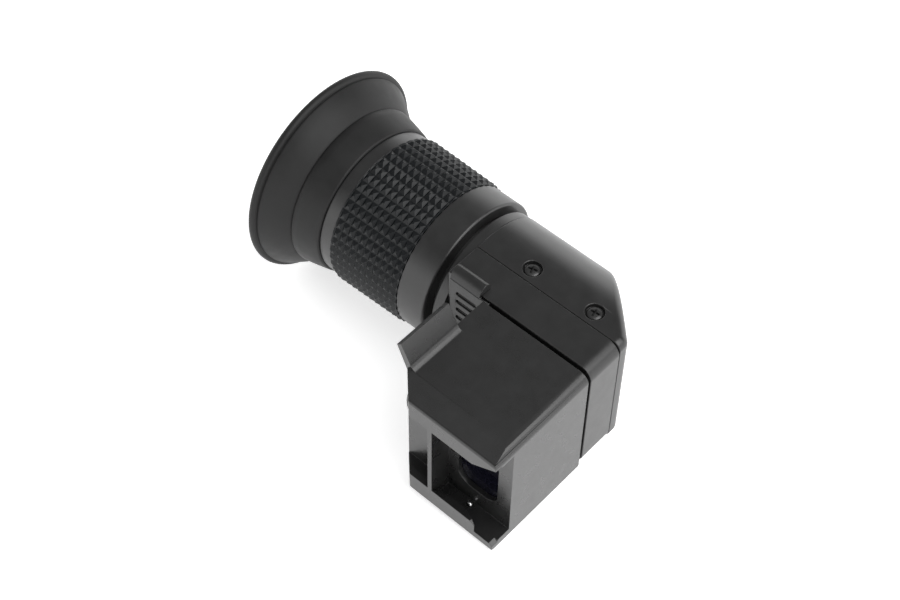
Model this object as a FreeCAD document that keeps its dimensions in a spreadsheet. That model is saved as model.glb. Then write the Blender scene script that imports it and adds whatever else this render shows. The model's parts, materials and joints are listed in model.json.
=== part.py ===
import FreeCAD, Part
import math
import os
import re

import Sketcher

# Right-angle viewfinder attachment: a shoe that slides on a camera's eyepiece frame, a housing
# with a roof prism, and a dioptre ring with a rubber eyecup. Millimetres.
# Origin: centre of the shoe's seat. The window looks along -Y, the eyepiece points along -X,
# and +Z is up. The shoe's optical axis is the Y axis; the eyepiece axis crosses it at Y = seat_to_axis.

doc = FreeCAD.newDocument("angle_finder")
sheet = doc.addObject("Spreadsheet::Sheet", "dims")

DIMENSIONS = {
    # housing
    "seat_to_axis": 31.7,
    "half_height": 14.0,
    "housing_wall": 1.4,
    "housing_skin": 0.6,
    "front_wall": 2.0,
    "housing_front": 20.0,
    "seam": 27.7,
    "seam_gap": 0.12,
    "housing_left": -25.1,
    "housing_right": 7.4,
    "mirror_setback": 5.5,
    "housing_round": 2.6,
    "cover_round": 1.8,
    "post_radius": 2.0,
    "post_height": 2.0,
    "bracket_plate": 1.2,
    "bracket_left": -19.0,
    "bracket_right": 5.0,
    "bracket_half": 12.2,
    "bracket_opening": 4.5,
    "flange": 1.4,
    "flange_end": 33.5,
    "prism_left": -9.0,
    "prism_right": 5.4,
    "prism_half": 8.0,
    "strap_foot": 8.3,
    "strap_gap": 0.08,
    "strap_thickness": 0.93,
    # eyepiece tube: distances from the shoe's optical axis, measured outward along -X
    "collar_end": 27.2,
    "ring_front": 28.4,
    "grip_front": 34.8,
    "grip_rear": 51.3,
    "retainer_rear": 54.1,
    "band_rear": 60.2,
    "rim": 67.2,
    "collar_radius": 13.9,
    "neck_radius": 12.3,
    "neck_bore": 10.6,
    "spigot_radius": 8.6,
    "light_bore": 7.6,
    "ring_radius": 15.0,
    "grip_seat": 14.2,
    "grip_front_radius": 15.5,
    "grip_rear_radius": 15.9,
    "retainer_radius": 15.3,
    "cup_front_radius": 15.8,
    "cup_band_radius": 17.0,
    "rim_radius": 21.5,
    "rim_width": 1.7,
    "flare_radius": 45.0,
    "cup_throat": 15.7,
    "cup_seat_radius": 13.2,
    "cup_hook": 56.7,
    "cup_hook_radius": 14.0,
    "retainer_end": 57.6,
    "retainer_bore": 11.4,
    "neck_front": 21.2,
    "neck_shoulder": 29.0,
    "neck_rear": 49.8,
    "nut_radius": 9.6,
    "keeper_front": 48.4,
    "keeper_radius": 12.85,
    "thread_radius": 11.6,
    "ring_tail": 53.2,
    "ring_tail_radius": 13.5,
    "track_radius": 13.1,
    "cell_front": 31.5,
    "cell_rear": 52.0,
    "cell_lip": 51.2,
    "cell_lip_radius": 8.4,
    "lens_radius": 9.35,
    "eye_lens_front": 47.6,
    "eye_lens_rear": 50.85,
    "field_lens_front": 39.0,
    "field_lens_rear": 42.0,
    "lock_ring_front": 37.2,
    "stop_station": 32.6,
    "stop_bore": 4.6,
    "cell_radius": 10.55,
    "cell_bore": 9.4,
    "cell_travel": 2.0,
    "pin_station": 40.0,
    "pin_radius": 0.8,
    "pin_inner": 9.6,
    "pin_outer": 12.9,
    "running_gap": 0.05,
    # shoe
    "shoe_left": -16.3,
    "shoe_right": 7.5,
    "shoe_back": 19.15,
    "shoe_front": -4.5,
    "shoe_wall": 1.0,
    "floor_depth": 2.2,
    "shoe_round": 2.0,
    "shoe_low_round": 0.8,
    "end_round": 0.8,
    "front_round": 0.7,
    "front_drop": 0.97,
    "end_taper": 4.4,
    "groove_half": 11.6,
    "lip_half": 9.1,
    "lip_depth": 1.5,
    "lip_run": 2.3,
    "lip_bow": 10.29,
    "stop_left": -7.6,
    "stop_right": -6.65,
    "window_half_width": 4.5,
    "window_half_height": 7.4,
    "window_corner": 3.0,
    "fin_front": 0.2,
    "fin_back": 12.0,
    "fin_root": 1.4,
    "fin_lean": 2.5,
    "fin_height": 5.0,
    "glass_seat": 1.2,
    "back_plate": 2.0,
    "boss_radius": 1.9,
    # swivel and magnification
    "swivel_radius": 5.0,
    "swivel_bore": 4.3,
    "swivel_start": 8.5,
    "spigot_flange": 7.0,
    "click_radius": 6.4,
    "click_front": 15.4,
    "click_back": 16.9,
    "lever_front": 19.25,
    "lever_back": 19.88,
    "lever_swing": 40.0,
    "lever_ring_radius": 7.0,
    "lever_left": -24.1,
    "lever_toe": -15.2,
    "ridge_right": -17.2,
    "ridge_back": 22.3,
    "slot_left": -22.1,
    "slot_right": -18.4,
    "slot_top": 10.75,
    "slot_pitch": 2.2,
    "slot_width": 1.0,
    "slot_depth": 0.42,
    "carrier_travel": 2.0,
    "carrier_bore": 3.6,
    "carrier_front": 13.3,
    "carrier_back": 21.2,
    "carrier_lens_front": 17.0,
    "fixed_lens_back": 12.15,
    "guide_pin_y": 15.6,
    "guide_pin_radius": 0.4,
    # lock
    "knob_y": 7.5,
    "knob_radius": 6.0,
    "shaft_radius": 1.6,
    "knob_height": 2.8,
    "clip_front": -11.85,
    "cam_radius": 2.0,
    "cam_offset": 0.8,
    "pawl_x": -5.95,
    "pawl_radius": 0.6,
    # ball detent
    "ball_x": -1.0,
    "ball_y": -0.7,
    "ball_radius": 0.62,
    "ball_rise": 0.4,
    "spring_seat": -13.5,
    "coil_radius": 0.5,
    "wire_radius": 0.1,
    "coil_pitch": 0.17,
    # fasteners
    "cover_screw_y": 30.5,
    "cover_screw_far": -14.7,
    "cover_screw_near": -0.6,
    "cover_screw_head": 1.55,
    "cover_screw_radius": 0.85,
    "cover_screw_length": 2.3,
    "screw_seat": 0.85,
    "inner_screw_head": 1.3,
    "bracket_screw_far": -16.5,
    "bracket_screw_near": 3.2,
    "bracket_screw_z": 9.3,
    "bracket_screw_radius": 0.8,
    "bracket_screw_length": 2.4,
    "plate_screw_far": -12.4,
    "plate_screw_near": 4.3,
    "plate_screw_z": 10.9,
    "plate_screw_radius": 0.75,
    "plate_screw_length": 5.5,
    "plate_seat": 0.7,
}

for row, (alias, size) in enumerate(DIMENSIONS.items(), start=1):
    sheet.set(f"A{row}", str(size))
    sheet.setAlias(f"A{row}", alias)
doc.recompute()

nodes = []


# ---------------------------------------------------------------- helpers

def formula(text):
    """Write a formula in the sheet's words as FreeCAD binds it; sqrt() stays a function."""
    return re.sub(r"\b[a-z]\w*\b(?!\()", lambda word: "dims." + word.group(), str(text))


def value(text):
    """The number that a formula comes to now."""
    return float(sheet.evalExpression(formula(text)))


def node(name, item):
    """Name a finished sub-part; the name becomes its file's name."""
    item.Label = name
    nodes.append(item)
    return item


def arc_between(start, end, bend):
    """The smaller arc from start to end; it turns left where bend is positive, right where negative."""
    chord = end - start
    half = chord.Length / 2
    rise = math.sqrt(max(bend * bend - half * half, 0.0)) * math.copysign(1, bend)
    left = FreeCAD.Vector(-chord.y, chord.x, 0).normalize()
    centre = start + chord * 0.5 + left * rise
    circle = Part.Circle(centre, FreeCAD.Vector(0, 0, 1), abs(bend))
    first, last = (start, end) if bend > 0 else (end, start)
    return Part.ArcOfCircle(circle, circle.parameter(first), circle.parameter(last))


def draw(sketch, corners):
    """Close an outline through corners (u, v), each bound to the sheet.

    A third entry is the radius of the arc that leaves that corner.
    """
    points = [FreeCAD.Vector(value(corner[0]), value(corner[1]), 0) for corner in corners]
    total = len(corners)
    starts = []
    for index, corner in enumerate(corners):
        after = points[(index + 1) % total]
        if len(corner) == 3:
            bend = value(corner[2])
            sketch.addGeometry(arc_between(points[index], after, bend), False)
            starts.append(1 if bend > 0 else 2)
        else:
            sketch.addGeometry(Part.LineSegment(points[index], after), False)
            starts.append(1)

    for index in range(total):
        before = (index - 1) % total
        sketch.addConstraint(
            Sketcher.Constraint("Coincident", index, starts[index], before, 3 - starts[before]))
    for index, corner in enumerate(corners):
        for kind, text in (("DistanceX", corner[0]), ("DistanceY", corner[1])):
            rule = Sketcher.Constraint(kind, -1, 1, index, starts[index], value(text))
            sketch.setExpression(f"Constraints[{sketch.addConstraint(rule)}]", formula(text))
        if len(corner) == 3:
            rule = Sketcher.Constraint("Radius", index, abs(value(corner[2])))
            size = str(corner[2]).lstrip("-")
            sketch.setExpression(f"Constraints[{sketch.addConstraint(rule)}]", formula(size))


def new_body(name):
    return doc.addObject("PartDesign::Body", name + "_body")


def sketch_on(body, role, corners):
    plane = next(item for item in body.Origin.OriginFeatures if item.Role == role)
    sketch = body.newObject("Sketcher::SketchObject", body.Name + "_outline")
    sketch.AttachmentSupport = [(plane, "")]
    sketch.MapMode = "FlatFace"
    draw(sketch, corners)
    return sketch


def extrude(body, role, corners, start, end, cut=False):
    """Pad or pocket an outline from start to end along the axis that its plane faces."""
    sketch = sketch_on(body, role, corners)
    normal = -1 if role == "XZ_Plane" else 1
    sketch.setExpression("AttachmentOffset.Base.z", formula(f"{normal} * ({start})"))
    kind = "PartDesign::Pocket" if cut else "PartDesign::Pad"
    before = body.Shape.Volume if body.Tip else 0.0
    feature = body.newObject(kind, body.Name + "_cut" if cut else body.Name + "_pad")
    feature.Profile = sketch
    feature.setExpression("Length", formula(f"({end}) - ({start})"))
    feature.Reversed = (normal > 0) == cut
    doc.recompute()
    change = body.Shape.Volume - before
    if (change >= 0) == cut:
        raise RuntimeError(f"{feature.Name} changed the volume by {change:.2f}")
    return feature


def round_edges(body, radius, chosen):
    """Fillet the edges of a body for which chosen(edge) is true."""
    names = [f"Edge{number}" for number, edge in enumerate(body.Tip.Shape.Edges, start=1) if chosen(edge)]
    if not names:
        raise RuntimeError(f"{body.Name}: no edge to round")
    base = body.Tip
    feature = body.newObject("PartDesign::Fillet", body.Name + "_round")
    feature.Base = (base, names)
    feature.setExpression("Radius", formula(radius))
    doc.recompute()
    return feature


def along(edge, axis):
    """True for a straight edge that runs along X, Y or Z."""
    if not isinstance(edge.Curve, Part.Line):
        return False
    direction = edge.Curve.Direction
    return abs(abs(getattr(direction, axis)) - 1) < 1e-6


def lies_at(edge, **places):
    """True where the edge's middle has these coordinates (absolute values where the key ends in _abs)."""
    middle = edge.CenterOfMass
    for key, place in places.items():
        here = getattr(middle, key[0])
        here = abs(here) if key.endswith("_abs") else here
        if abs(here - place) > 0.02:
            return False
    return True


def box(name, x, y, z):
    """A block between pairs of formulas."""
    item = doc.addObject("Part::Box", name)
    for size, axis, (low, high) in zip(("Length", "Width", "Height"), "xyz", (x, y, z)):
        item.setExpression(size, formula(f"({high}) - ({low})"))
        item.setExpression("Placement.Base." + axis, formula(low))
    return item


TURNS = {
    "x": FreeCAD.Rotation(FreeCAD.Vector(0, 1, 0), 90),
    "y": FreeCAD.Rotation(FreeCAD.Vector(1, 0, 0), -90),
    "z": FreeCAD.Rotation(),
}


def rod(name, axis, centre, start, end, radius):
    """A cylinder along an axis; centre gives its other two coordinates in X, Y, Z order."""
    item = doc.addObject("Part::Cylinder", name)
    item.Placement.Rotation = TURNS[axis]
    item.setExpression("Radius", formula(radius))
    item.setExpression("Height", formula(f"({end}) - ({start})"))
    others = [other for other in "xyz" if other != axis]
    for other, place in zip(others, centre):
        item.setExpression("Placement.Base." + other, formula(place))
    item.setExpression("Placement.Base." + axis, formula(start))
    return item


def fuse(name, *items):
    result = doc.addObject("Part::MultiFuse", name)
    result.Shapes = list(items)
    result.Refine = True
    return result


def cut(name, base, *tools):
    result = doc.addObject("Part::Cut", name)
    result.Base = base
    result.Tool = tools[0] if len(tools) == 1 else fuse(name + "_tools", *tools)
    result.Refine = True
    return result


def turned(name, corners):
    """Turn an outline of (station, radius) about the eyepiece axis; stations run outward."""
    body = new_body(name)
    body.setExpression("Placement.Base.y", formula("seat_to_axis"))
    sketch = sketch_on(body, "XY_Plane", [(f"-({corner[0]})", *corner[1:]) for corner in corners])
    return revolve(body, sketch, "H_Axis")


def turned_shoe(name, corners):
    """Turn an outline of (radius, y) about the shoe's optical axis."""
    body = new_body(name)
    sketch = sketch_on(body, "XY_Plane", corners)
    return revolve(body, sketch, "V_Axis")


def revolve(body, sketch, axis):
    feature = body.newObject("PartDesign::Revolution", body.Name + "_turn")
    feature.Profile = sketch
    feature.ReferenceAxis = (sketch, [axis])
    feature.Angle = 360
    doc.recompute()
    return body


def rectangle(low_u, high_u, low_v, high_v):
    return [(low_u, low_v), (high_u, low_v), (high_u, high_v), (low_u, high_v)]


# ---------------------------------------------------------------- housing

SHOE_AXIS = ("0", "0")
EYEPIECE_AXIS = ("seat_to_axis", "0")
KNOB_AXIS = ("knob_y", "0")
PAWL_AXIS = ("pawl_x", "0")
BALL_AXIS = ("ball_x", "ball_y")
GUIDE_PIN = ("0", "guide_pin_y")
COVER_SCREW_X = ("cover_screw_far", "cover_screw_near")
BRACKET_SCREWS = [(x, z) for x in ("bracket_screw_far", "bracket_screw_near")
                  for z in ("bracket_screw_z", "-bracket_screw_z")]
PLATE_SCREWS = [(x, z) for x in ("plate_screw_far", "plate_screw_near")
                for z in ("plate_screw_z", "-plate_screw_z")]
HOUSING_INSIDE = "housing_front + front_wall"
BRACKET_FRONT = f"{HOUSING_INSIDE} + post_height"
BRACKET_BACK = f"{BRACKET_FRONT} + bracket_plate"
ROOF_BAR = (40, 24, 24)
CAM_SLOT = (5.2, 1.4, 2.6)
GRIP_SLOTS = 4
SPRING_COILS = 6
# screw heads: how far the rim is rounded, then the cross's span, breadth and depth, as parts of the head
HEAD_ROUND = 0.35
CROSS_SPAN = 1.25
CROSS_BREADTH = 0.25
CROSS_DEPTH = 0.6


def main_housing():
    """Front shell: a box open at the back, with a bore for the swivel and posts for the bracket."""
    body = new_body("main_housing")
    rear = "seam - seam_gap / 2"
    inner_half = "half_height - housing_wall"
    extrude(body, "XY_Plane", rectangle("housing_left", "housing_right", "housing_front", rear),
            "-half_height", "half_height")
    round_edges(body, "housing_round", lambda edge: along(edge, "y")
                and lies_at(edge, x=value("housing_right"), z_abs=value("half_height")))
    extrude(body, "XY_Plane",
            rectangle("housing_left + housing_wall", "housing_right - housing_wall", HOUSING_INSIDE, rear),
            f"-({inner_half})", inner_half, cut=True)
    posts = [rod(f"bracket_post_{index}", "y", place, f"{HOUSING_INSIDE} - 0.1", BRACKET_FRONT, "post_radius")
             for index, place in enumerate(BRACKET_SCREWS)]
    shell = fuse("housing_with_posts", body, *posts)
    holes = [rod(f"bracket_hole_{index}", "y", place, "housing_front + housing_skin", BRACKET_FRONT,
                 "bracket_screw_radius") for index, place in enumerate(BRACKET_SCREWS)]
    swivel_hole = rod("swivel_hole", "y", SHOE_AXIS, "housing_front - 1", f"{HOUSING_INSIDE} + 1",
                      "swivel_radius")
    neck_hole = rod("neck_hole_front", "x", EYEPIECE_AXIS, "housing_left - 1",
                    "housing_left + housing_wall + 1", "spigot_radius")
    return cut("main_housing_cut", shell, swivel_hole, neck_hole, *holes)


def cover_block(name, offset, rounded):
    """Rear half of the housing, drawn in by an offset: flat top, half-round back and 45 degree end."""
    body = new_body(name)
    front = "seam + seam_gap / 2"
    height = f"half_height - {offset}"
    extrude(body, "YZ_Plane",
            [(front, f"-({height})"),
             ("seat_to_axis", f"-({height})", height),
             (f"seat_to_axis + {height}", "0", height),
             ("seat_to_axis", height),
             (front, height)],
            f"housing_left + {offset}", f"housing_right - {offset}")
    slope = f"seat_to_axis + mirror_setback - sqrt(2) * {offset}"
    far = "seat_to_axis + half_height + 6"
    extrude(body, "XY_Plane",
            [(f"{slope} - ({front})", front),
             (f"{slope} - ({front})", far),
             (f"{slope} - ({far})", far)],
            "-half_height - 1", "half_height + 1", cut=True)
    if rounded:
        start = value(front)
        round_edges(body, "cover_round", lambda edge: edge.BoundBox.YMin > start - 0.01
                    and edge.BoundBox.YMax > start + 0.01
                    and edge.BoundBox.XMax > value("housing_left") + 0.5
                    and not along(edge, "x"))
    return body


def prism_cover():
    outer = cover_block("cover_outer", "0", rounded=True)
    inner = cover_block("cover_inner", "housing_wall", rounded=False)
    shell = cut("cover_shell", outer, inner)
    tools = [rod("neck_hole_rear", "x", EYEPIECE_AXIS, "housing_left - 1",
                 "housing_left + housing_wall + 1", "spigot_radius")]
    for index, x in enumerate(COVER_SCREW_X):
        place = (x, "cover_screw_y")
        tools.append(rod(f"screw_hole_{index}", "z", place, "-half_height - 1", "half_height + 1",
                         "cover_screw_radius + 0.05"))
        tools.append(rod(f"screw_seat_top_{index}", "z", place, "half_height - screw_seat", "half_height + 1",
                         "cover_screw_head + 0.25"))
        tools.append(rod(f"screw_seat_low_{index}", "z", place, "-half_height - 1",
                         "screw_seat - half_height", "cover_screw_head + 0.25"))
    return cut("prism_cover_cut", shell, *tools)


def screw_shape(head_radius, head_height, shank_radius, length):
    """A pan-head screw along +Z from its head's underside at 0, with the head below."""
    head = Part.makeCylinder(head_radius, head_height, FreeCAD.Vector(0, 0, -head_height))
    rim = [edge for edge in head.Edges if abs(edge.CenterOfMass.z + head_height) < 1e-6]
    head = head.makeFillet(head_height * HEAD_ROUND, rim)
    shape = head.fuse(Part.makeCylinder(shank_radius, length))
    arm = head_radius * CROSS_SPAN
    for width, depth in ((arm, arm * CROSS_BREADTH), (arm * CROSS_BREADTH, arm)):
        slot = Part.makeBox(width, depth, head_height * CROSS_DEPTH,
                            FreeCAD.Vector(-width / 2, -depth / 2, -head_height))
        shape = shape.cut(slot)
    return shape


def screws(name, places, ways, head_radius, head_height, shank_radius, length):
    """A group of equal screws; each goes in along its way from the underside of its head."""
    pattern = screw_shape(*[value(size) for size in (head_radius, head_height, shank_radius, length)])
    shapes = []
    for place, way in zip(places, ways):
        shape = pattern.copy()
        shape.Placement = FreeCAD.Placement(
            FreeCAD.Vector(*[value(part) for part in place]),
            FreeCAD.Rotation(FreeCAD.Vector(0, 0, 1), FreeCAD.Vector(*way)))
        shapes.append(shape)
    item = doc.addObject("Part::Feature", name)
    item.Shape = Part.makeCompound(shapes)
    return node(name, item)


def cover_screws():
    places = []
    ways = []
    for x in COVER_SCREW_X:
        places.append((x, "cover_screw_y", "half_height - screw_seat"))
        ways.append((0, 0, -1))
        places.append((x, "cover_screw_y", "screw_seat - half_height"))
        ways.append((0, 0, 1))
    return screws("cover_screws", places, ways, "cover_screw_head", "screw_seat - 0.1",
                  "cover_screw_radius", "cover_screw_length")


def bracket_screws():
    places = [(x, BRACKET_BACK, z) for x, z in BRACKET_SCREWS]
    return screws("bracket_screws", places, [(0, -1, 0)] * len(places), "inner_screw_head", "0.7",
                  "bracket_screw_radius", "bracket_screw_length")


def prism_bracket():
    """Plate with a light hole and two flanges, which take the cover screws."""
    body = new_body("bracket")
    extrude(body, "XY_Plane", rectangle("bracket_left", "bracket_right", BRACKET_FRONT, BRACKET_BACK),
            "-bracket_half", "bracket_half")
    light = rod("bracket_light", "y", SHOE_AXIS, f"{BRACKET_FRONT} - 1", f"{BRACKET_BACK} + 1",
                "bracket_opening")
    flanges = []
    for side, low, high in (("top", "bracket_half - flange", "bracket_half"),
                            ("low", "-bracket_half", "flange - bracket_half")):
        flange = new_body("flange_" + side)
        start = f"{BRACKET_BACK} - 0.1"
        extrude(flange, "XY_Plane",
                [("bracket_left", start), ("bracket_right", start), ("bracket_right", "flange_end - 4"),
                 ("bracket_right - 4", "flange_end"), ("bracket_left", "flange_end")], low, high)
        flanges.append(flange)
    frame = fuse("bracket_frame", body, *flanges)
    holes = [rod(f"cover_thread_{index}", "z", (x, "cover_screw_y"), "-bracket_half - 1", "bracket_half + 1",
                 "cover_screw_radius") for index, x in enumerate(COVER_SCREW_X)]
    holes += [rod(f"bracket_clear_{index}", "y", place, f"{BRACKET_FRONT} - 1", f"{BRACKET_BACK} + 1",
                  "bracket_screw_radius") for index, place in enumerate(BRACKET_SCREWS)]
    return cut("prism_bracket_cut", frame, light, *holes)


def roof_prism():
    """Glass roof prism; the roof's ridge crosses both optical axes at 45 degrees."""
    body = new_body("prism_block")
    face = f"{BRACKET_BACK} + 0.1"
    extrude(body, "XY_Plane",
            [("prism_left", face), ("prism_right", face), ("prism_right", "seat_to_axis - prism_right"),
             ("prism_left", "seat_to_axis - prism_left")],
            "-prism_half", "prism_half")
    roof = doc.addObject("Part::Box", "roof_bar")
    roof.Length, roof.Width, roof.Height = ROOF_BAR
    ridge = FreeCAD.Vector(1, -1, 0).normalize()
    outward = FreeCAD.Vector(1, 1, 0).normalize()
    up = FreeCAD.Vector(0, 0, 1)
    start = FreeCAD.Vector(0, value("seat_to_axis"), 0) - ridge * ROOF_BAR[0] / 2
    turn = FreeCAD.Rotation(ridge, up - outward, -up - outward, "XYZ")
    roof.Placement = FreeCAD.Placement(start, turn)
    prism = doc.addObject("Part::Common", "roof_prism_common")
    prism.Base = body
    prism.Tool = roof
    return prism


def prism_strap():
    """Bent spring strap that holds the prism against its bracket, with feet on the flanges."""
    body = new_body("prism_strap")
    body.Placement.Rotation = FreeCAD.Rotation(FreeCAD.Vector(0, 0, 1), 45)
    body.setExpression("Placement.Base.y", formula("seat_to_axis"))
    foot = "bracket_half - flange - 0.05"
    low_in, low_out = "-strap_foot", "strap_thickness - strap_foot"
    corners = [(low_in, f"-({foot})"), (low_in, "-strap_foot - strap_gap"), ("strap_gap", "0"),
               (low_in, "strap_foot + strap_gap"), (low_in, foot), (low_out, foot),
               (low_out, "strap_foot"), ("strap_thickness", "0"), (low_out, "-strap_foot"),
               (low_out, f"-({foot})")]
    extrude(body, "XZ_Plane", corners, "0.5", "4.5")
    return body


# ---------------------------------------------------------------- eyepiece

def lens(name, axis, centre, low, high, radius, low_bend, high_bend):
    """A round lens with its rim from low to high along an axis; a bend is a face's radius, None if flat."""
    start = f"({low}) - 2" if low_bend else low
    end = f"({high}) + 2" if high_bend else high
    shapes = [rod(name + "_rim", axis, centre, start, end, radius)]
    for side, edge, bend, way in (("low", low, low_bend, 1), ("high", high, high_bend, -1)):
        if bend is None:
            continue
        dome = doc.addObject("Part::Sphere", f"{name}_{side}_dome")
        dome.setExpression("Radius", formula(bend))
        others = [other for other in "xyz" if other != axis]
        for other, place in zip(others, centre):
            dome.setExpression("Placement.Base." + other, formula(place))
        reach = f"({edge}) + {way} * sqrt(({bend})^2 - ({radius})^2)"
        dome.setExpression("Placement.Base." + axis, formula(reach))
        shapes.append(dome)
    whole = doc.addObject("Part::MultiCommon", name + "_glass")
    whole.Shapes = shapes
    return whole


def eyepiece_neck():
    body = turned("eyepiece_neck", [
        ("neck_front", "light_bore"), ("neck_front", "spigot_radius"), ("-housing_left", "spigot_radius"),
        ("-housing_left", "collar_radius"), ("collar_end", "collar_radius"),
        ("collar_end", "neck_radius"), ("keeper_front", "neck_radius"), ("keeper_front", "thread_radius"),
        ("neck_rear", "thread_radius"), ("neck_rear", "neck_bore"), ("neck_shoulder", "neck_bore"),
        ("neck_shoulder", "light_bore")])
    slots = box("drive_slots", ("-pin_station - cell_travel - 1", "cell_travel + 1 - pin_station"),
                ("seat_to_axis - pin_radius - 0.05", "seat_to_axis + pin_radius + 0.05"),
                ("-pin_outer", "pin_outer"))
    return cut("eyepiece_neck_cut", body, slots)


def cell_drive_pins():
    place = ("-pin_station", "seat_to_axis")
    group = doc.addObject("Part::Compound", "cell_drive_pins_group")
    group.Links = [rod("drive_pin_top", "z", place, "pin_inner", "pin_outer", "pin_radius"),
                   rod("drive_pin_low", "z", place, "-pin_outer", "-pin_inner", "pin_radius")]
    return group


def ocular_cell():
    body = turned("ocular_cell", [
        ("cell_front", "cell_bore"), ("cell_front", "cell_radius"), ("cell_rear", "cell_radius"),
        ("cell_rear", "cell_lip_radius"), ("cell_lip", "cell_lip_radius"), ("cell_lip", "cell_bore")])
    place = ("-pin_station", "seat_to_axis")
    holes = rod("cell_pin_holes", "z", place, "-pin_outer", "pin_outer", "pin_radius")
    sockets = cut("cell_pin_sockets", holes,
                  rod("cell_pin_floor", "z", place, "-pin_inner", "pin_inner", "pin_radius + 1"))
    return cut("ocular_cell_cut", body, sockets)


def eyepiece():
    node("eyepiece_neck", eyepiece_neck())
    node("neck_nut", turned("neck_nut", [
        ("neck_front + 0.3", "spigot_radius"), ("neck_front + 0.3", "nut_radius"),
        ("-housing_left - housing_wall", "nut_radius"), ("-housing_left - housing_wall", "spigot_radius")]))
    node("ring_keeper", turned("ring_keeper", [
        ("keeper_front + 0.1", "thread_radius"), ("keeper_front + 0.1", "keeper_radius"),
        ("neck_rear", "keeper_radius"), ("neck_rear", "thread_radius")]))
    bore = "neck_radius + running_gap"
    track_rear = "pin_station + cell_travel + 1"
    track_front = "pin_station - cell_travel - 1"
    node("dioptre_ring", turned("dioptre_ring", [
        ("ring_front", bore), ("ring_front", "ring_radius - 0.3"), ("ring_front + 0.3", "ring_radius"),
        ("grip_front", "ring_radius"), ("grip_front", "grip_seat"), ("grip_rear", "grip_seat"),
        ("grip_rear", "ring_tail_radius"), ("ring_tail", "ring_tail_radius"),
        ("ring_tail", "keeper_radius + 0.1"), ("keeper_front", "keeper_radius + 0.1"),
        ("keeper_front", bore), (track_rear, bore), (track_rear, "track_radius"),
        (track_front, "track_radius"), (track_front, bore)]))
    node("grip_sleeve", turned("grip_sleeve", [
        ("grip_front", "grip_seat"), ("grip_front", "grip_front_radius - 0.3"),
        ("grip_front + 0.3", "grip_front_radius"), ("grip_rear - 0.3", "grip_rear_radius"),
        ("grip_rear", "grip_rear_radius - 0.3"), ("grip_rear", "grip_seat")]))
    node("eyecup_retainer", turned("eyecup_retainer", [
        ("grip_rear", "ring_tail_radius"), ("grip_rear", "retainer_radius"),
        ("retainer_rear", "retainer_radius"), ("retainer_rear", "cup_seat_radius"),
        ("cup_hook", "cup_seat_radius"), ("cup_hook", "cup_hook_radius"),
        ("retainer_end", "cup_hook_radius"), ("retainer_end", "retainer_bore"),
        ("ring_tail + 0.1", "retainer_bore"), ("ring_tail + 0.1", "ring_tail_radius")]))
    node("eyecup", turned("eyecup", [
        ("retainer_rear", "cup_seat_radius"), ("retainer_rear", "cup_front_radius"),
        ("band_rear", "cup_band_radius", "-flare_radius"), ("rim - rim_width", "rim_radius - 0.35"),
        ("rim - rim_width + 0.3", "rim_radius"), ("rim - 0.3", "rim_radius"), ("rim", "rim_radius - 0.3"),
        ("rim", "rim_radius - 1.3", "flare_radius"), ("band_rear + 0.4", "cup_throat"),
        ("retainer_end", "cup_hook_radius + 0.2"), ("retainer_end", "cup_hook_radius"),
        ("cup_hook", "cup_hook_radius"), ("cup_hook", "cup_seat_radius")]))
    node("ocular_cell", ocular_cell())
    node("cell_drive_pins", cell_drive_pins())
    node("eye_lens", lens("eye_lens", "x", EYEPIECE_AXIS, "-eye_lens_rear", "-eye_lens_front",
                          "lens_radius", "28", "40"))
    node("lens_spacer", turned("lens_spacer", [
        ("field_lens_rear + 0.32", "cell_lip_radius"), ("field_lens_rear + 0.32", "cell_bore"),
        ("eye_lens_front - 0.24", "cell_bore"), ("eye_lens_front - 0.24", "cell_lip_radius")]))
    node("field_lens", lens("field_lens", "x", EYEPIECE_AXIS, "-field_lens_rear", "-field_lens_front",
                            "lens_radius", "30", "60"))
    node("cell_lock_ring", turned("cell_lock_ring", [
        ("lock_ring_front", "light_bore + 0.2"), ("lock_ring_front", "cell_bore"),
        ("field_lens_front - 0.2", "cell_bore"), ("field_lens_front - 0.2", "cell_lip_radius")]))
    node("field_stop", turned("field_stop", [
        ("stop_station", "stop_bore"), ("stop_station", "cell_bore"),
        ("stop_station + 0.8", "cell_bore"), ("stop_station + 0.8", "stop_bore + 0.3")]))


# ---------------------------------------------------------------- swivel and magnification

def swivel_spigot():
    """Tube fixed in the housing's front wall; the shoe turns on it."""
    flange_end = f"{HOUSING_INSIDE} + 1"
    body = turned_shoe("swivel_spigot", [
        ("swivel_bore", "swivel_start"), ("swivel_radius", "swivel_start"),
        ("swivel_radius", HOUSING_INSIDE), ("spigot_flange", HOUSING_INSIDE),
        ("spigot_flange", flange_end), ("swivel_bore", flange_end),
        ("swivel_bore", "fixed_lens_back + 0.75"), ("swivel_bore - 0.5", "fixed_lens_back + 0.75"),
        ("swivel_bore - 0.5", "fixed_lens_back + 0.05"), ("swivel_bore", "fixed_lens_back + 0.05")])
    flat = box("spigot_flat", ("spigot_flange - 1.2", "spigot_flange + 1"),
               (f"{HOUSING_INSIDE} - 0.5", f"{flange_end} + 1"), ("-spigot_flange - 1", "spigot_flange + 1"))
    window = box("finger_window", ("-2.9", "2.9"), ("lever_front - 0.1", "lever_back + 0.1"),
                 ("-swivel_radius - 1", "-2.9"))
    pin_hole = rod("guide_pin_hole", "z", GUIDE_PIN, "3", "swivel_radius + 1", "guide_pin_radius")
    return cut("swivel_spigot_cut", body, flat, window, pin_hole)


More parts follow.
